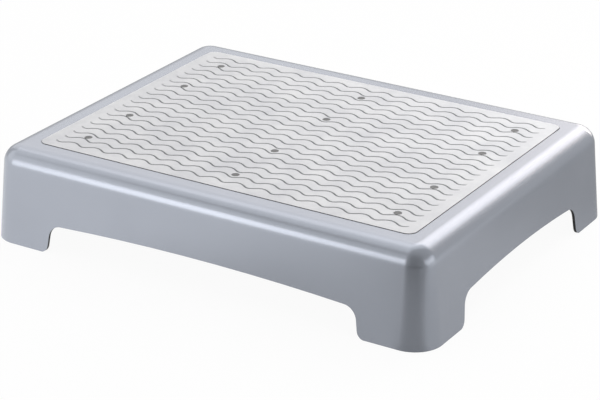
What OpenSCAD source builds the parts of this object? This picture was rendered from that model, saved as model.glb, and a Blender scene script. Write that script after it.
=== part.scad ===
// Half step: a moulded four-legged shell with a wave-grooved tread mat riveted into its deck.
// The frame is centred on the step: X along its long side, -Y towards its front, Z = 0 on the ground.

/* [Body] */
// Length over the legs at the ground
body_l = 512; // [440:1:600]
// Width over the legs at the ground
body_w = 398; // [340:1:480]
// Height of the deck rim above the ground
body_h = 100; // [80:1:120]
// Draft of the outer walls in degrees
draft = 5; // [2:0.5:6]
// Radius of the upright corners at the ground
corner_r = 30; // [28:0.5:40]
// Radius of the edge between the walls and the rim
edge_r = 20; // [10:0.5:21]
// Thickness of the walls and the deck
wall = 3; // [2:0.25:4]

/* [Legs and arches] */
// Width of a leg at the ground, along the long sides
leg_x = 74; // [60:1:100]
// Width of a leg at the ground, along the short sides
leg_y = 75; // [60:1:90]
// Height of the long arches at their middle
long_arch_h = 36; // [30:1:50]
// Height of the short arches at their middle
short_arch_h = 38; // [30:1:50]
// Rise of an arch from the line of its ends to its middle
arch_rise = 6; // [3:0.5:9]
// Slope of an arch's side edges in degrees
arch_slope = 8; // [2:1:12]
// Radius at the top corners of an arch
arch_r = 15; // [6:1:17]
// Radius at the lower corners of the legs beside an arch
foot_r = 9; // [3:0.5:10]

/* [Mat] */
// Flat width of the rim round the mat
rim_w = 11; // [5:0.5:20]
// Thickness of the mat
mat_t = 2.5; // [2.2:0.1:4]
// Corner radius of the mat
mat_r = 10; // [4:1:20]
// Height that the mat stands above the rim
mat_proud = 0.5; // [0.2:0.1:1]
// Gap between the mat and the wall of its recess
mat_gap = 0.5; // [0.2:0.1:1]

/* [Grooves] */
// Distance from one wave groove to the next
groove_pitch = 14.5; // [12:0.1:18]
// Distance of the grooves' ends from the ends of the mat
groove_end = 12; // [8:0.5:25]
// Least distance of the outermost waves from the sides of the mat
groove_side = 10; // [6:0.5:20]
// Width of a groove
groove_w = 1.8; // [1:0.1:3]
// Depth of a groove
groove_d = 1; // [0.5:0.1:1.5]
// Length of one wave
wave_l = 28.4; // [20:0.1:40]
// Height of a wave from trough to crest
wave_h = 5.8; // [2:0.1:8]
// Flat stretch on a wave's crest
crest_flat = 6; // [2:0.5:8]
// Flat stretch in a wave's trough
trough_flat = 2; // [1:0.5:6]

/* [Rivets] */
// Distance of the outer rivet columns from the ends of the mat
rivet_end = 36.5; // [25:0.5:60]
// Grooves between the outer rivet rows and the sides of the mat
grooves_outside = 2; // [1:1:3]
// Grooves between the outer and the inner rivet rows
grooves_between = 5; // [3:1:6]
// Distance that the middle column is set towards the front
rivet_mid_shift = 3; // [0:0.5:5]
// Diameter of a rivet's head
head_d = 8; // [7:0.5:10]
// Thickness of a rivet's head
head_h = 1.2; // [0.8:0.1:1.5]
// Depth of a head below the mat's surface
head_sink = 0.2; // [0:0.1:0.5]
// Gap round a head in the mat
head_gap = 0.2; // [0.1:0.05:0.4]
// Diameter of a rivet's shank
shank_d = 3.5; // [2.5:0.1:3.6]
// Gap round a shank in the mat and in the deck
shank_gap = 0.15; // [0.1:0.05:0.3]
// Diameter of the barb that holds a rivet under the deck
barb_d = 4.8; // [4.4:0.1:6]
// Length of the barb
barb_h = 3; // [2:0.5:5]

/* [Ribs] */
// Thickness of the ribs
rib_t = 2.4; // [1.5:0.1:3]
// Depth of the deck ribs below the deck
rib_depth = 24; // [10:1:40]
// Bays between ribs from one rivet column to the next
rib_bays = 4; // [2:2:6]
// Gap between a rivet's barb and a rib
rib_gap = 1; // [0.5:0.1:2]

/* [Hidden] */
$fn = 96;
// Overshoot of a cut past the face that it opens
past = 1;
// Overlap of the middle block into the runs along the walls
seam = 0.5;
// Step by which a round stands out from the straight edge that it takes over from
lap = 0.01;
// Angle at which the round of a foot meets the ground
foot_angle = 12;
// Slopes of the walls and of the arches' sides, across over up
lean = tan(draft);
arch_lean = tan(arch_slope);
// Levels of the mat, the recess floor, the underside of the deck and the ribs' lower edges
mat_top = body_h + mat_proud;
recess_floor = mat_top - mat_t;
deck_under = recess_floor - wall;
rib_under = deck_under - rib_depth;
// Underside of the rivet heads, in the mat
head_seat = mat_top - head_sink - head_h;
// Size of the mat, from the flat of the deck inside the round edge and the rim, to a hundredth
rim_start = round(100 * (lean * (body_h - edge_r) + edge_r / cos(draft))) / 100;
mat_l = body_l - 2 * (rim_start + rim_w + mat_gap);
mat_w = body_w - 2 * (rim_start + rim_w + mat_gap);
// Length and number of the grooves, and the field that they fill
groove_l = mat_l - 2 * groove_end;
groove_rows = 1 + floor((mat_w - 2 * groove_side - wave_h) / groove_pitch);
field_w = groove_rows * groove_pitch;
// Angle of a wave's flanks
flank_angle = atan2(wave_h, (wave_l - crest_flat - trough_flat) / 2);
// Places of the rivets: each row lies midway between two grooves
rivet_x = mat_l / 2 - rivet_end;
outer_y = field_w / 2 - grooves_outside * groove_pitch;
inner_y = outer_y - grooves_between * groove_pitch;
rivet_xy = [for (col = [-1:1], y = [-outer_y, -inner_y, inner_y, outer_y])
    [col * rivet_x, y - (col == 0 ? rivet_mid_shift : 0)]];
// Places of the deck ribs: in even bays between the rivet columns, and midway between the rivet rows
rib_pitch = rivet_x / rib_bays;
rib_pairs = floor(body_l / 2 / rib_pitch);
rib_xs = [for (k = [-rib_pairs:rib_pairs - 1]) (k + 0.5) * rib_pitch];
rib_ys = [-(inner_y + outer_y) / 2, 0, (inner_y + outer_y) / 2];

// Half of the shell's upright section: drafted side and rounded top edge, out to reach at the ground
module half_section(reach, top, round_r, bottom) {
    straight = round_r - lap;
    c = [reach - lean * (top - round_r) - straight / cos(draft), top - round_r];
    on_side = c + straight * [cos(draft), sin(draft)];
    polygon([[0, bottom], [reach - lean * bottom, bottom], on_side, [c[0], top], [0, top]]);
    translate(c) intersection() {
        circle(r = round_r);
        translate([0, -2 * round_r]) square(4 * round_r);
    }
}

// Solid of the shell's outer form, set in by inset: a middle block, a run along each wall and four turned corners
module form(inset, top, bottom) {
    run_x = body_l / 2 - corner_r;
    run_y = body_w / 2 - corner_r;
    for (over = [[0, seam], [seam, 0]]) translate([-run_x - over[0], -run_y - over[1], bottom])
        cube([2 * (run_x + over[0]), 2 * (run_y + over[1]), top - bottom]);
    for (side = [0, 1]) {
        mirror([0, side, 0]) translate([-run_x, run_y, 0]) rotate([90, 0, 90])
            linear_extrude(2 * run_x) half_section(corner_r - inset, top, edge_r - inset, bottom);
        mirror([side, 0, 0]) translate([run_x, run_y, 0]) rotate([90, 0, 0])
            linear_extrude(2 * run_y) half_section(corner_r - inset, top, edge_r - inset, bottom);
    }
    for (mx = [0, 1], my = [0, 1]) mirror([mx, 0, 0]) mirror([0, my, 0]) translate([run_x, run_y, 0])
        rotate_extrude(angle = 90) half_section(corner_r - inset, top, edge_r - inset, bottom);
}

// Opening of an arch: sloped sides, a bowed top, rounded top corners and flared feet
module arch_shape(width, height) {
    half = width / 2;
    bow_r = round((half * half + arch_rise * arch_rise) / (2 * arch_rise));
    bow_c = [0, height - bow_r];
    straight = arch_r - lap;
    // Centre of the round between the side edge and the bow, found from its distances to them
    n = [cos(arch_slope), sin(arch_slope)];
    from_side = half * n[0] - straight - bow_c[1] * n[1];
    to_bow_c = bow_r - straight;
    along_side = sqrt(to_bow_c * to_bow_c - from_side * from_side);
    c = bow_c + from_side * n + along_side * [-n[1], n[0]];
    on_side = c + straight * n;
    on_bow = c + (straight - lap) * (c - bow_c) / to_bow_c;
    // Centre of the round at the foot, set low enough to cross the ground
    foot_z = foot_r * cos(foot_angle);
    foot_c = [half - foot_z * arch_lean + (foot_r - lap) / n[0], foot_z];
    right = [[half + past * arch_lean, -past], on_side, on_bow];
    polygon([for (p = right) p, for (i = [2:-1:0]) [-right[i][0], right[i][1]]]);
    intersection() {
        translate([-on_bow[0], 0]) square([2 * on_bow[0], height + past]);
        translate(bow_c) circle(r = bow_r, $fn = 720);
    }
    for (side = [0, 1]) mirror([side, 0]) translate(c) circle(r = arch_r);
    difference() {
        translate([-foot_c[0], -past]) square([2 * foot_c[0], past + foot_z - foot_r * n[1]]);
        for (side = [0, 1]) mirror([side, 0]) translate(foot_c) circle(r = foot_r);
    }
}

// Rounded outline of the mat, grown by grow on every side
module mat_outline(grow) {
    r = mat_r + grow;
    x = mat_l / 2 - mat_r;
    y = mat_w / 2 - mat_r;
    polygon([[x + r, y], [x, y + r], [-x, y + r], [-x - r, y], [-x - r, -y], [-x, -y - r], [x, -y - r], [x + r, -y]]);
    for (mx = [0, 1], my = [0, 1]) mirror([mx, 0]) mirror([0, my]) translate([x, y]) intersection() {
        circle(r = r);
        square(2 * r);
    }
}

// Ribs that stiffen the deck from below, crossing one another and running into the walls
module ribs() {
    top = deck_under + wall / 2;
    for (x = rib_xs) translate([x - rib_t / 2, -body_w / 2, rib_under]) cube([rib_t, body_w, top - rib_under]);
    for (y = rib_ys) translate([-body_l / 2, y - rib_t / 2, rib_under]) cube([body_l, rib_t, top - rib_under]);
}

module step_body() {
    color("silver") difference() {
        union() {
            difference() {
                form(0, body_h, 0);
                form(wall, body_h - wall, -past);
            }
            translate([0, 0, deck_under]) linear_extrude(body_h - wall / 2 - deck_under)
                mat_outline(mat_gap + wall);
            difference() {
                intersection() {
                    ribs();
                    form(wall / 2, body_h - wall / 2, -past);
                }
                for (p = rivet_xy) translate([p[0], p[1], rib_under - past])
                    cylinder(d = barb_d + 2 * rib_gap, h = deck_under - rib_under + past);
            }
        }
        rotate([90, 0, 0]) translate([0, 0, -body_w]) linear_extrude(2 * body_w)
            arch_shape(body_l - 2 * leg_x, long_arch_h);
        rotate([90, 0, 90]) translate([0, 0, -body_l]) linear_extrude(2 * body_l)
            arch_shape(body_w - 2 * leg_y, short_arch_h);
        translate([0, 0, recess_floor]) linear_extrude(mat_t + past) mat_outline(mat_gap);
        for (p = rivet_xy) translate([p[0], p[1], deck_under - past])
            cylinder(d = shank_d + 2 * shank_gap, h = wall + 2 * past);
    }
}

// One wave groove seen from above, in as many whole waves as cover its length, with a trough at X = 0
module wave_shape() {
    waves = ceil(groove_l / 2 / wave_l);
    mitre = tan(flank_angle / 2) * groove_w / 2;
    // Corners of the groove's middle line, each with the side that its mitre falls on
    line = [for (k = [-waves:waves - 1]) each [
        [k * wave_l + trough_flat / 2, -wave_h / 2, -1],
        [(k + 0.5) * wave_l - crest_flat / 2, wave_h / 2, -1],
        [(k + 0.5) * wave_l + crest_flat / 2, wave_h / 2, 1],
        [(k + 1) * wave_l - trough_flat / 2, -wave_h / 2, 1]
    ]];
    last = len(line) - 1;
    polygon([
        for (p = line) [p[0] + p[2] * mitre, p[1] + groove_w / 2],
        for (i = [last:-1:0]) [line[i][0] - line[i][2] * mitre, line[i][1] - groove_w / 2]
    ]);
}

module tread_mat() {
    color("gainsboro") difference() {
        translate([0, 0, recess_floor]) linear_extrude(mat_t) mat_outline(0);
        translate([0, 0, mat_top - groove_d]) linear_extrude(groove_d + past) intersection() {
            for (row = [0:groove_rows - 1]) translate([0, (row + 0.5) * groove_pitch - field_w / 2])
                wave_shape();
            square([groove_l, field_w], center = true);
        }
        for (p = rivet_xy) {
            translate([p[0], p[1], recess_floor - past]) cylinder(d = shank_d + 2 * shank_gap, h = mat_t + past);
            translate([p[0], p[1], head_seat]) cylinder(d = head_d + 2 * head_gap, h = mat_t);
        }
    }
}

// One push rivet, from its head's seat: bevelled head, shank through mat and deck, barb under the deck
module rivet() {
    bevel = head_h / 3;
    grip = head_seat - deck_under + shank_gap;
    rotate_extrude() polygon([
        [0, head_h], [head_d / 2 - bevel, head_h], [head_d / 2, head_h - bevel], [head_d / 2, 0],
        [shank_d / 2, 0], [shank_d / 2, -grip], [barb_d / 2, -grip], [shank_d / 4, -grip - barb_h],
        [0, -grip - barb_h]
    ]);
}

module mat_rivets() {
    color("dimgray") for (p = rivet_xy) translate([p[0], p[1], head_seat]) rivet();
}

step_body();
tread_mat();
mat_rivets();
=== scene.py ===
# %% [markdown]
# # A moulded half step
#
# A half step is the low step that stands in front of a caravan door. This one is a single
# moulding: black plastic, sprayed silver on the outside, with a leg at each corner and an arch
# between the legs. A pale rubber mat with wavy grooves lies in a recess of its deck, held by
# twelve grey push rivets.
#
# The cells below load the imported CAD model, set up the camera, and then make one piece or one
# finish at a time. Each step says what the real thing is, and why it is made this way in Blender.

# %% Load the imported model
import bmesh
import bpy
import math
from mathutils import Matrix, Vector


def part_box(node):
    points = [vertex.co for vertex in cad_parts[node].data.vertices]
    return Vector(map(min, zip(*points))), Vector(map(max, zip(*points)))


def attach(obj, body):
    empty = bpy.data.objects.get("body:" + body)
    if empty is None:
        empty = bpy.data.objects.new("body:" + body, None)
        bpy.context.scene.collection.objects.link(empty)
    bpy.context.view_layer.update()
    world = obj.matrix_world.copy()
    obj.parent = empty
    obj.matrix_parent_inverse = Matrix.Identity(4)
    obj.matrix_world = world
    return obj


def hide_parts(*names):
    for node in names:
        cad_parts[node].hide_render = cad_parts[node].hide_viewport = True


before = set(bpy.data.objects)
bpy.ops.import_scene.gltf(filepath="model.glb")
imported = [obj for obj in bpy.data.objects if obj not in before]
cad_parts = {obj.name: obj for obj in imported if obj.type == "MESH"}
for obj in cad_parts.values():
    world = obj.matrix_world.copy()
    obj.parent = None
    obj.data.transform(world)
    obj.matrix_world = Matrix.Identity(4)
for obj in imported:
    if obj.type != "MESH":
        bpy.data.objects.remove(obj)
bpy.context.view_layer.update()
MM = 0.001

# %% [markdown]
# ## The camera
#
# The camera stands where the photograph was taken from: to the right of the front and a little
# above, with a long lens. Its place comes from matching the corners of the step, the edges of the
# mat and the rivets to the photograph. A long lens keeps the far edges nearly as long as the near
# ones. Every direction in this file is given as an azimuth and an elevation, so one function
# turns those into a vector.


# %% Camera
def heading_vector(azimuth, elevation=0.0):
    """The unit vector towards a direction in degrees. Azimuth 0 is in front, 90 to the right."""
    a, e = math.radians(azimuth), math.radians(elevation)
    return Vector((math.sin(a) * math.cos(e), -math.cos(a) * math.cos(e), math.sin(e)))


camera_azimuth = 31.45
camera_elevation = 23.571
camera_roll = -0.132
camera_distance = 2338.65 * MM
camera_target = Vector((13.85, -27.27, 39.77)) * MM
lens_mm = 137.0
sensor_mm = 36.0

back = heading_vector(camera_azimuth, camera_elevation)
roll = Matrix.Rotation(-math.radians(camera_roll), 4, "Z").to_quaternion()
turn = (back.to_track_quat("Z", "Y") @ roll).to_matrix().to_4x4()
camera = bpy.data.objects.new("camera", bpy.data.cameras.new("camera"))
camera.data.lens = lens_mm
camera.data.sensor_width = sensor_mm
camera.matrix_world = Matrix.Translation(camera_target + camera_distance * back) @ turn
bpy.context.scene.collection.objects.link(camera)
bpy.context.scene.camera = camera
print("camera stands", round(camera_distance, 3), "m from the step")

# %% [markdown]
# ## Helpers for materials
#
# A material is a small graph of nodes. One function turns a written colour into Blender's linear
# values, and one adds a node with its settings and links. The others are short names for nodes
# that come back often, so that each material below reads as a list.


# %% Material helpers
def colour(hex_code):
    """A written sRGB colour such as #A0A4AA as linear RGBA."""
    values = [int(hex_code[i:i + 2], 16) / 255 for i in (1, 3, 5)]
    linear = [v / 12.92 if v <= 0.04045 else ((v + 0.055) / 1.055) ** 2.4 for v in values]
    return (*linear, 1.0)


def add_node(tree, kind, settings=None, **inputs):
    """Adds a node. A value that is a socket is linked, and any other value is set.

    An input is named as in Blender, with _ for a space, or by its number, as in _0.
    """
    node = tree.nodes.new(kind)
    for name, value in (settings or {}).items():
        setattr(node, name, value)
    for name, value in inputs.items():
        key = name[1:]
        socket = node.inputs[int(key) if key.isdigit() else name.replace("_", " ")]
        if isinstance(value, bpy.types.NodeSocket):
            tree.links.new(value, socket)
        else:
            socket.default_value = value
    return node


def noise(tree, size, detail, roughness):
    """Noise with grains of the given size, fixed to the object."""
    place = add_node(tree, "ShaderNodeTexCoord").outputs["Object"]
    return add_node(tree, "ShaderNodeTexNoise", Vector=place, Scale=1 / size, Detail=detail,
                    Roughness=roughness).outputs["Fac"]


def blend(tree, share, low, high):
    """A colour that goes from low to high with share."""
    return add_node(tree, "ShaderNodeMix", {"data_type": "RGBA"}, _0=share, _6=low,
                    _7=high).outputs[2]


def bump(tree, height, strength, distance):
    """A surface direction that makes a height look real."""
    return add_node(tree, "ShaderNodeBump", Height=height, Strength=strength,
                    Distance=distance).outputs["Normal"]


def new_material(name):
    """An empty material with its node tree and its output node."""
    material = bpy.data.materials.new(name)
    material.use_nodes = True
    material.node_tree.nodes.clear()
    output = material.node_tree.nodes.new("ShaderNodeOutputMaterial")
    return material, material.node_tree, output


def set_surface(tree, output, **values):
    """Ends a material in one Principled surface."""
    surface = add_node(tree, "ShaderNodeBsdfPrincipled", **values)
    tree.links.new(surface.outputs["BSDF"], output.inputs["Surface"])


print("white is", [round(v, 3) for v in colour("#FFFFFF")])

# %% [markdown]
# ## Silver spray paint
#
# The outside is sprayed with silver lacquer: tiny aluminium flakes in a clear binder. From a step
# away it looks like a satin metal. The flakes spread reflections wide, and the drying lacquer
# leaves a faint waviness, called orange peel, with bumps about 2 mm across. A low bump gives the
# peel, and a slow change of tone gives the clouds that a hand-held spray leaves. The roughness
# stays the same all over, because a changing one draws worm-like lines in the reflections.

# %% Silver paint
silver_paint, tree, output = new_material("sprayed_silver_lacquer")
peel_size = 2.2 * MM
peel_height = 0.02 * MM
cloud_size = 60 * MM
peel = noise(tree, peel_size, detail=2.0, roughness=0.5)
cloud = noise(tree, cloud_size, detail=2.0, roughness=0.5)
set_surface(tree, output, Base_Color=blend(tree, cloud, colour("#A7ACB6"), colour("#ADB2BC")),
            Metallic=0.8, Roughness=0.27, Normal=bump(tree, peel, 0.12, peel_height))
print("made", silver_paint.name)

# %% [markdown]
# ## Black ABS
#
# The moulding itself is black ABS, a tough plastic. The spray doesn't reach the cut edges of the
# arches or the hollow underneath, so they stay black. Moulded ABS has a fine even grain that
# breaks up its shine.

# %% Black plastic
black_plastic, tree, output = new_material("moulded_black_abs")
grain_size = 0.8 * MM
grain_height = 0.05 * MM
grain = noise(tree, grain_size, detail=3.0, roughness=0.6)
set_surface(tree, output, Base_Color=blend(tree, grain, colour("#131315"), colour("#1D1D1F")),
            Roughness=0.5, Normal=bump(tree, grain, 0.3, grain_height))
print("made", black_plastic.name)

# %% [markdown]
# ## Pale grey rubber
#
# The mat is moulded thermoplastic rubber. It is matt and pale, and the mould was etched, so its
# surface has a fine tooth that a shoe can grip. The real tooth is a few tenths of a millimetre
# across. It is drawn a little coarser, about a millimetre, so that it shows.
#
# The grooves are painted greyer than the top: painted shade for the little light that reaches
# into them. The mesh carries an attribute called groove, which is 1 at the bottom of a groove and
# 0 on the top.

# %% Mat rubber
mat_rubber, tree, output = new_material("moulded_pale_rubber")
tooth_size = 1.0 * MM
tooth_height = 0.08 * MM
wear_size = 45 * MM
tooth = noise(tree, tooth_size, detail=3.0, roughness=0.6)
wear = noise(tree, wear_size, detail=7.0, roughness=0.7)
top_colour = blend(tree, wear, colour("#B8BAC1"), colour("#ECEDEE"))
groove_shade = add_node(tree, "ShaderNodeAttribute", {"attribute_name": "groove"}).outputs["Fac"]
# Painted shade: the rubber gets darker towards the bottom of each groove, following the groove
# attribute
set_surface(tree, output, Base_Color=blend(tree, groove_shade, top_colour, colour("#7A7B7E")),
            Roughness=0.62, Normal=bump(tree, tooth, 0.35, tooth_height))
print("made", mat_rubber.name)

# %% [markdown]
# ## Dark backing of the mat
#
# In the photograph a thin dark line runs along the mat's front and right edges, where its side
# can be seen, and none along the others. That line is shade in the narrow gap round the mat, and
# here it is painted shade: the mat's side gets a near-black colour.

# %% Painted shade on the mat's side
mat_side_shade, tree, output = new_material("painted_shade_dark_rubber")
pore_size = 0.8 * MM
pores = noise(tree, pore_size, detail=2.0, roughness=0.5)
# Near-black painted shade for the gap round the mat, not a colour of the rubber itself
set_surface(tree, output, Base_Color=blend(tree, pores, colour("#18181A"), colour("#222224")),
            Roughness=0.75)
print("made", mat_side_shade.name)

# %% [markdown]
# ## Grey nylon
#
# Push rivets are moulded nylon: a middle grey, slightly waxy, with a soft sheen. A faint mottle in
# colour and height is enough at this size, because a head is only 8 mm across.

# %% Rivet nylon
rivet_nylon, tree, output = new_material("moulded_grey_nylon")
mottle_size = 1.5 * MM
mottle_height = 0.03 * MM
mottle = noise(tree, mottle_size, detail=2.0, roughness=0.5)
set_surface(tree, output, Base_Color=blend(tree, mottle, colour("#656667"), colour("#6D6E6F")),
            Roughness=0.5, Normal=bump(tree, mottle, 0.2, mottle_height))
print("made", rivet_nylon.name)

# %% [markdown]
# ## Helpers for meshes
#
# Each piece is built as a bmesh, which can be edited freely, and then becomes an object. Weighted
# normals shade each point mainly by its larger faces, so flat areas next to a rounding stay flat.


# %% Mesh helpers
def new_object(name, mesh):
    """Turns a bmesh into an object of the scene."""
    data = bpy.data.meshes.new(name)
    mesh.to_mesh(data)
    mesh.free()
    thing = bpy.data.objects.new(name, data)
    bpy.context.scene.collection.objects.link(thing)
    return thing


def weigh_normals(thing):
    """Adds weighted normals that keep the sharp edges."""
    weighted = thing.modifiers.new("weighted_normals", "WEIGHTED_NORMAL")
    weighted.keep_sharp = True
    weighted.weight = 50


def in_mm(vector):
    return [round(v / MM, 1) for v in vector]


body_low, body_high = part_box("step_body")
mat_low, mat_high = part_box("tread_mat")
print("body", in_mm(body_high - body_low), "mat", in_mm(mat_high - mat_low))

# %% [markdown]
# ## The shell
#
# The CAD solid already has the true form of the moulding, so its mesh is copied, its loose
# triangles are joined, and flat areas are dissolved into single faces. Faces on the outer skin get
# the silver paint. Cut edges, ribs and everything underneath get black plastic.
#
# Which faces are outer skin follows from where they look: an outer face looks away from the middle
# of the step and slightly up, because of the draft, and lies near the outside. The edges are
# marked smooth or sharp here by their angle, and the CAD's own normals are left out, because they
# no longer fit once faces are dissolved.

# %% Paint or bare plastic
draft = math.tan(math.radians(5))
skin_depth = 22 * MM
least_outward = 0.05
least_upward = 0.02
level_slack = 0.1 * MM


def is_outer_skin(face):
    """True for a face that the spray reaches: outside a wall, on the rim or in the recess."""
    middle = face.calc_center_median()
    if middle.z > mat_low.z - level_slack:
        return True
    outward_x = face.normal.x * math.copysign(1, middle.x)
    outward_y = face.normal.y * math.copysign(1, middle.y)
    depth_x = body_high.x - draft * middle.z - abs(middle.x)
    depth_y = body_high.y - draft * middle.z - abs(middle.y)
    return (max(outward_x, outward_y) > least_outward and face.normal.z > least_upward
            and min(depth_x, depth_y) < skin_depth)


print("silver reaches", round(skin_depth / MM), "mm in from the outside")

# %% Shell
weld_distance = 0.002 * MM
flat_angle = math.radians(0.2)
shell_crease = math.radians(40)

mesh = bmesh.new()
mesh.from_mesh(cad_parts["step_body"].data)
bmesh.ops.remove_doubles(mesh, verts=mesh.verts, dist=weld_distance)
bmesh.ops.dissolve_limit(mesh, angle_limit=flat_angle, use_dissolve_boundaries=False,
                         verts=mesh.verts, edges=mesh.edges)
mesh.normal_update()
for face in mesh.faces:
    face.material_index = 0 if is_outer_skin(face) else 1
    face.smooth = True
for edge in mesh.edges:
    edge.smooth = edge.calc_face_angle(0.0) < shell_crease
print("shell faces", len(mesh.faces),
      "silver", sum(1 for f in mesh.faces if f.material_index == 0),
      "open edges", sum(1 for e in mesh.edges if not e.is_manifold),
      "sharp edges", sum(1 for e in mesh.edges if not e.smooth))
shell = new_object("shell", mesh)
if "custom_normal" in shell.data.attributes:
    shell.data.attributes.remove(shell.data.attributes["custom_normal"])
for material in (silver_paint, black_plastic):
    shell.data.materials.append(material)
weigh_normals(shell)
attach(shell, "root")
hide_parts("step_body")

# %% [markdown]
# ## The tread mat
#
# The mat's top is a field of wavy grooves inside a plain border. It could be cut from a slab with
# Booleans, but then each groove would have sharp edges and a flat bottom. So it starts as a flat
# grid. Each row of the grid is bent along a wave, and each row inside a groove is pressed down,
# so every groove has a round bottom. Towards its ends a groove gets shallower. The border and the
# sides come from pushing the open rim outwards and down in steps.

# %% Mat sizes
groove_pitch = 14.5 * MM
groove_width = 2.0 * MM
groove_depth = 1.0 * MM
groove_end = 12 * MM
groove_rows = 21
wave_length = 28.4 * MM
wave_height = 5.8 * MM
flat_crests = 0.08
run_out_length = 10 * MM
run_out_depth = 0.4
mat_corner = 10 * MM
field_margin = 1.2 * MM
column_step = 1.45 * MM

mat_half = (mat_high - mat_low) / 2
groove_reach = mat_half.x - groove_end
field_half_x = groove_reach + field_margin
field_half_y = groove_rows * groove_pitch / 2 - field_margin
print("grooves", groove_rows, "reach", round(groove_reach / MM, 1), "mm to each side")


# %% Wave and groove
def wave(x):
    """The wave's sideways swing at x, with its crests a little flatter than its troughs."""
    phase = 2 * math.pi * x / wave_length
    return -wave_height / 2 * (math.cos(phase) + flat_crests * math.cos(2 * phase))


def wave_slope(x):
    nearby = 0.01 * MM
    return (wave(x + nearby) - wave(x - nearby)) / (2 * nearby)


def depth_at(x, step):
    """How deep a groove is at x, and at step half widths from its middle line."""
    end_round = groove_width / 2
    along = min(1.0, max(0.0, (abs(x) - groove_reach + end_round) / end_round))
    inside = max(0.0, 1 - step * step - along * along)
    run_out = min(1.0, (groove_reach - abs(x)) / run_out_length)
    share = run_out_depth + (1 - run_out_depth) * run_out
    return share * groove_depth * (1 - (1 - inside) ** 2) ** 0.5


print("deepest", round(depth_at(0.0, 0.0) / MM, 2), "mm")

# %% Mat grid
# Distances of a groove's rows from its middle line, in half widths
row_steps = [-1.12, -0.9, -0.62, -0.32, 0.0, 0.32, 0.62, 0.9, 1.12]
rows = [None] + [(groove, step) for groove in range(groove_rows) for step in row_steps] + [None]
even_reach = groove_reach - field_margin
even_columns = 2 * round(even_reach / column_step)
even_places = [even_reach * (2 * i / even_columns - 1) for i in range(even_columns + 1)]
# Closer columns at a groove's round end, in mm from it
end_places = [groove_reach + d * MM for d in (-0.8, -0.45, -0.2, -0.05, 0.0)] + [field_half_x]
columns = [-x for x in reversed(end_places)] + even_places + end_places

mesh = bmesh.new()
groove_layer = mesh.verts.layers.float.new("groove")
bmesh.ops.create_grid(mesh, x_segments=len(columns) - 1, y_segments=len(rows) - 1, size=0.5)
for vertex in mesh.verts:
    x = columns[round((vertex.co.x + 0.5) * (len(columns) - 1))]
    number = round((vertex.co.y + 0.5) * (len(rows) - 1))
    if rows[number] is None:
        y = -field_half_y if number == 0 else field_half_y
        depth = 0.0
    else:
        groove, step = rows[number]
        middle_y = (groove + 0.5 - groove_rows / 2) * groove_pitch
        y = middle_y + wave(x) + step * groove_width / 2 * math.sqrt(1 + wave_slope(x) ** 2)
        depth = depth_at(x, step)
    vertex.co = (x, y, mat_high.z - depth)
    vertex[groove_layer] = depth / groove_depth
print("mat grid", len(columns), "by", len(rows))


# %% Mat border and sides
def clamp(value, reach):
    return max(-reach, min(reach, value))


def outline_place(co, inset):
    """The point of the mat's rounded outline, moved in by inset, that lies outward from co."""
    far = Vector((clamp(co.x * mat_half.x / field_half_x, mat_half.x),
                  clamp(co.y * mat_half.y / field_half_y, mat_half.y)))
    centre = Vector((clamp(far.x, mat_half.x - mat_corner),
                     clamp(far.y, mat_half.y - mat_corner)))
    return centre + (mat_corner - inset) * (far - centre).normalized()


edge_round = 0.12 * MM
edge_middle = 0.3 * edge_round
border_steps = ((edge_round, mat_high.z), (edge_middle, mat_high.z - edge_middle),
                (0.0, mat_high.z - edge_round), (0.0, mat_low.z))
rim = {v: v.co.copy() for v in mesh.verts if v.is_boundary}
for inset, z in border_steps:
    pushed = bmesh.ops.extrude_edge_only(mesh, edges=[e for e in mesh.edges if e.is_boundary])
    new_rim = {}
    for vertex in (g for g in pushed["geom"] if isinstance(g, bmesh.types.BMVert)):
        partners = (e.other_vert(vertex) for e in vertex.link_edges)
        origin = next(rim[partner] for partner in partners if partner in rim)
        new_rim[vertex] = origin
        place_xy = outline_place(origin, inset)
        vertex.co = (place_xy.x, place_xy.y, z)
    rim = new_rim
bmesh.ops.contextual_create(mesh, geom=[e for e in mesh.edges if e.is_boundary])
bmesh.ops.recalc_face_normals(mesh, faces=mesh.faces)
print("mat open edges", sum(1 for e in mesh.edges if not e.is_manifold),
      "volume in mm3", round(mesh.calc_volume() / MM ** 3))
mat = new_object("mat", mesh)

# %% [markdown]
# ## Seats for the rivets
#
# Each rivet head lies in a shallow round seat, with a hole for its shank. The seats cross the
# edges of some grooves, so they are cut out of the finished mat with a Boolean, as a punch would.

# %% Rivet seats
head_d = 8 * MM
head_h = 1.2 * MM
seat_gap = 0.2 * MM
shank_hole = 3.8 * MM
rivet_end = 36.5 * MM
middle_shift = 3 * MM
punch_spare = 1 * MM
punch_sides = 48

head_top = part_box("mat_rivets")[1].z
rivet_column = mat_half.x - rivet_end
rivet_rows = [side * pitches * groove_pitch for side in (-1, 1) for pitches in (3.5, 8.5)]
rivet_places = [(column * rivet_column, y - (middle_shift if column == 0 else 0))
                for column in (-1, 0, 1) for y in rivet_rows]
mesh = bmesh.new()
high = mat_high.z + punch_spare
for x, y in rivet_places:
    for diameter, low in ((head_d + 2 * seat_gap, head_top - head_h),
                          (shank_hole, mat_low.z - punch_spare)):
        bmesh.ops.create_cone(mesh, cap_ends=True, segments=punch_sides, radius1=diameter / 2,
                              radius2=diameter / 2, depth=high - low,
                              matrix=Matrix.Translation((x, y, (low + high) / 2)))
punches = new_object("punch", mesh)
print("punches for", len(rivet_places), "rivets")

# %% Cut the seats
cut = mat.modifiers.new("seats", "BOOLEAN")
cut.operation = "DIFFERENCE"
cut.solver = "EXACT"
cut.use_self = True
cut.object = punches
graph = bpy.context.evaluated_depsgraph_get()
cut_mesh = bpy.data.meshes.new_from_object(mat.evaluated_get(graph))
mat.modifiers.clear()
mat.data = cut_mesh
bpy.data.objects.remove(punches)
print("mat triangles", sum(len(p.vertices) - 2 for p in cut_mesh.polygons))

# %% Mat finish
side_band = 4 * MM
side_slope = 0.3
mat_crease = math.radians(50)

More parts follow.
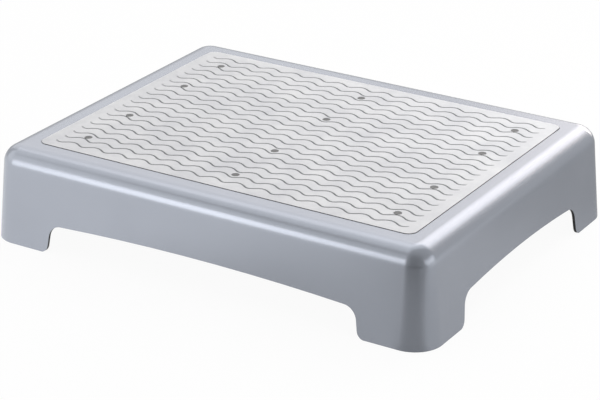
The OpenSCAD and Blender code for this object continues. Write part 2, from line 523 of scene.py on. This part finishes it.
cut_mesh.materials.clear()
for material in (mat_rubber, mat_side_shade):
    cut_mesh.materials.append(material)
# The mat's side faces get the near-black painted shade of the gap round the mat
for polygon in cut_mesh.polygons:
    at_side = (abs(polygon.center.x) > mat_half.x - side_band
               or abs(polygon.center.y) > mat_half.y - side_band)
    polygon.material_index = 1 if polygon.normal.z < side_slope and at_side else 0
cut_mesh.shade_smooth()
cut_mesh.set_sharp_from_angle(angle=mat_crease)
weigh_normals(mat)
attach(mat, "root")
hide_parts("tread_mat")
print("dark side faces", sum(1 for p in cut_mesh.polygons if p.material_index == 1))

# %% [markdown]
# ## The rivets
#
# A push rivet is a flat round head on a split shank. The CAD rivets already have the right heads,
# and nothing else of them shows from above, so they only get their nylon.

# %% Rivets
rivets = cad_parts["mat_rivets"]
rivets.data.materials.clear()
rivets.data.materials.append(rivet_nylon)
print("rivets wear", rivet_nylon.name)

# %% [markdown]
# ## Helpers for the studio
#
# The floor and the room are brighter in some directions than in others. A dot product says how
# close two directions are, and a ramp turns that into a brightness.


# %% Studio helpers
WHITE = (1, 1, 1, 1)


def closeness(tree, socket, direction):
    """The cosine of the angle between a direction in the nodes and a fixed one."""
    return add_node(tree, "ShaderNodeVectorMath", {"operation": "DOT_PRODUCT"}, _0=socket,
                    _1=direction).outputs["Value"]


def ramp(tree, value, start, end, low, high, smooth=False):
    """Goes from low to high while value goes from start to end, and stays level outside."""
    settings = {"interpolation_type": "SMOOTHSTEP" if smooth else "LINEAR"}
    return add_node(tree, "ShaderNodeMapRange", settings, Value=value, From_Min=start,
                    From_Max=end, To_Min=low, To_Max=high).outputs["Result"]


def cosine(degrees):
    return math.cos(math.radians(degrees))


# The heading of what the near corner mirrors
corner_azimuth = 21
print("the near corner mirrors heading", corner_azimuth, "degrees")

# %% [markdown]
# ## Floor
#
# The photograph was taken on white, with soft light. The floor is a white sheet. To the camera it
# is mostly plain white, with enough lit paper in it to keep a soft shadow under the step. From
# below the sheet is clear, so that the underside can be looked at.
#
# What the silver paint mirrors matters as much as what the camera sees. The photograph's dark
# upright band on the rounded corner shows that the sheet was dimmer towards the camera, and that
# the room past it was dark there and brighter to both sides. So soft fans of floor spread out from
# the near corner, in one ring for the sheet and one for the room past it, and only reflections
# show them.

# %% Floor as the paint mirrors it
fan_inset = 25 * MM
sheet_edge = (215 * MM, 450 * MM)

floor_paper, tree, output = new_material("white_paper")
place = add_node(tree, "ShaderNodeTexCoord").outputs["Object"]
fan_centre = (body_high.x - fan_inset, body_low.y + fan_inset, body_low.z)
from_corner = add_node(tree, "ShaderNodeVectorMath", {"operation": "SUBTRACT"}, _0=place,
                       _1=fan_centre).outputs["Vector"]
heading = add_node(tree, "ShaderNodeVectorMath", {"operation": "NORMALIZE"},
                   _0=from_corner).outputs["Vector"]
away = add_node(tree, "ShaderNodeVectorMath", {"operation": "LENGTH"},
                _0=from_corner).outputs["Value"]


def fan(middle, inner, outer, low=0.0, high=1.0):
    """high within inner degrees of the heading middle, low beyond outer, and smooth between."""
    near = closeness(tree, heading, heading_vector(middle))
    share = ramp(tree, near, cosine(outer), cosine(inner), 0.0, 1.0, smooth=True)
    return ramp(tree, share, 0.0, 1.0, low, high)


def add_share(value, factor, base):
    """value times factor, plus base."""
    return add_node(tree, "ShaderNodeMath", {"operation": "MULTIPLY_ADD"}, _0=value, _1=factor,
                    _2=base).outputs[0]


sheet_level = fan(corner_azimuth, 17, 53, low=0.66, high=0.39)
beyond_level = fan(corner_azimuth, 31, 60, low=0.48, high=0.12)
beyond_level = add_share(fan(-65, 25, 55), 0.61, beyond_level)
beyond_level = add_share(fan(117, 15, 40), 0.50, beyond_level)
past_sheet = ramp(tree, away, *sheet_edge, 0.0, 1.0, smooth=True)
floor_level = add_node(tree, "ShaderNodeMix", _0=past_sheet, _2=sheet_level,
                       _3=beyond_level).outputs[0]
mirrored = add_node(tree, "ShaderNodeEmission", Color=WHITE, Strength=floor_level)
print("made the floor that reflections show")

# %% Floor as the camera sees it
plain_white = 0.95
floor_half = 4.5

rays = add_node(tree, "ShaderNodeLightPath")
white_share = add_node(tree, "ShaderNodeMath", {"operation": "MULTIPLY"},
                       _0=rays.outputs["Is Camera Ray"], _1=plain_white)
paper = add_node(tree, "ShaderNodeBsdfDiffuse", Color=colour("#F4F4F4"))
white = add_node(tree, "ShaderNodeEmission", Color=WHITE, Strength=1.0)
seen = add_node(tree, "ShaderNodeMixShader", _0=white_share.outputs[0], _1=paper.outputs[0],
                _2=white.outputs[0])
shown = add_node(tree, "ShaderNodeMixShader", _0=rays.outputs["Is Glossy Ray"],
                 _1=seen.outputs[0], _2=mirrored.outputs[0])
clear = add_node(tree, "ShaderNodeBsdfTransparent")
from_below = add_node(tree, "ShaderNodeNewGeometry").outputs["Backfacing"]
both = add_node(tree, "ShaderNodeMixShader", _0=from_below, _1=shown.outputs[0],
                _2=clear.outputs[0])
tree.links.new(both.outputs[0], output.inputs["Surface"])

mesh = bmesh.new()
bmesh.ops.create_grid(mesh, x_segments=1, y_segments=1, size=floor_half)
floor = new_object("floor", mesh)
floor.data.materials.append(floor_paper)
print("floor laid at", round(body_low.z / MM, 2), "mm")

# %% [markdown]
# ## Room and lamps
#
# The world is the room: pale all round, lighter behind the step, and dark behind the camera. Ten
# large soft boxes stand in it. Their places were found from what the rounded edges mirror: each
# bright band on an edge is one box. A box is given by the direction it stands in, the angle it
# fills, and how bright its face is, and its power follows from those.
#
# The mat is brighter towards its right-hand end than at the left, which only a lamp close by can
# do. So one small box stands near the right, as a fill that the paint doesn't mirror.

# %% World
away_azimuth = 211
gloom_height = 0.45

world = bpy.data.worlds.new("studio")
world.use_nodes = True
tree = world.node_tree
tree.nodes.clear()
output = tree.nodes.new("ShaderNodeOutputWorld")
heading = add_node(tree, "ShaderNodeTexCoord").outputs["Generated"]
behind = closeness(tree, heading, heading_vector(away_azimuth))
level = ramp(tree, behind, -1.0, 1.0, 0.42, 0.68)
gloom_heading = (heading_vector(corner_azimuth) + Vector((0.0, 0.0, gloom_height))).normalized()
gloom = ramp(tree, closeness(tree, heading, gloom_heading), cosine(52), cosine(12), 1.0, 0.6,
             smooth=True)
room_level = add_node(tree, "ShaderNodeMath", {"operation": "MULTIPLY"}, _0=level, _1=gloom)
room = add_node(tree, "ShaderNodeBackground", Color=WHITE, Strength=room_level.outputs[0])
seen = add_node(tree, "ShaderNodeBackground", Color=WHITE, Strength=1.0)
rays = add_node(tree, "ShaderNodeLightPath")
mixed = add_node(tree, "ShaderNodeMixShader", _0=rays.outputs["Is Camera Ray"],
                 _1=room.outputs[0], _2=seen.outputs[0])
tree.links.new(mixed.outputs[0], output.inputs["Surface"])
bpy.context.scene.world = world
print("made the room", world.name)

# %% Soft boxes
far_distance = 6.0
near_distance = 0.7
warm = "#FFEFE3"


def add_soft_box(name, azimuth, elevation, half_width, half_height, brightness, tint="#FFFFFF",
                 distance=far_distance):
    """A soft box that faces the step. Its direction and half sizes are in degrees."""
    outward = heading_vector(azimuth, elevation)
    data = bpy.data.lights.new(name, "AREA")
    data.shape = "RECTANGLE"
    data.size = 2 * distance * math.tan(math.radians(half_width))
    data.size_y = 2 * distance * math.tan(math.radians(half_height))
    data.color = colour(tint)[:3]
    data.energy = brightness * math.pi * data.size * data.size_y
    lamp = bpy.data.objects.new(name, data)
    lamp.matrix_world = (Matrix.Translation(outward * distance)
                         @ outward.to_track_quat("Z", "Y").to_matrix().to_4x4())
    bpy.context.scene.collection.objects.link(lamp)
    return lamp


add_soft_box("back_core", 168, 15, 5, 8, 3.4, warm)
add_soft_box("back_bar", 180, 24, 12, 4, 3.3, warm)
add_soft_box("back_low", 180, 13, 18, 14, 0.75, warm)
add_soft_box("back_high", 187, 26, 16, 18, 0.86, "#FFF3EB")
add_soft_box("back_top", 180, 40, 20, 8, 0.98)
add_soft_box("back_left", 229, 41, 21, 26, 0.63, "#FFFBF8")
add_soft_box("top_left", 236, 68, 36, 17, 0.54)
add_soft_box("left", 299, 23, 27, 22, 0.67)
add_soft_box("front_left", 330, 12, 7, 12, 2.5)
add_soft_box("right", 103, 13, 26, 12, 0.90)
near_fill = add_soft_box("near_fill", 130, 50, 12, 12, 3.4, distance=near_distance)
near_fill.visible_glossy = False
bpy.context.scene.view_settings.view_transform = "Standard"
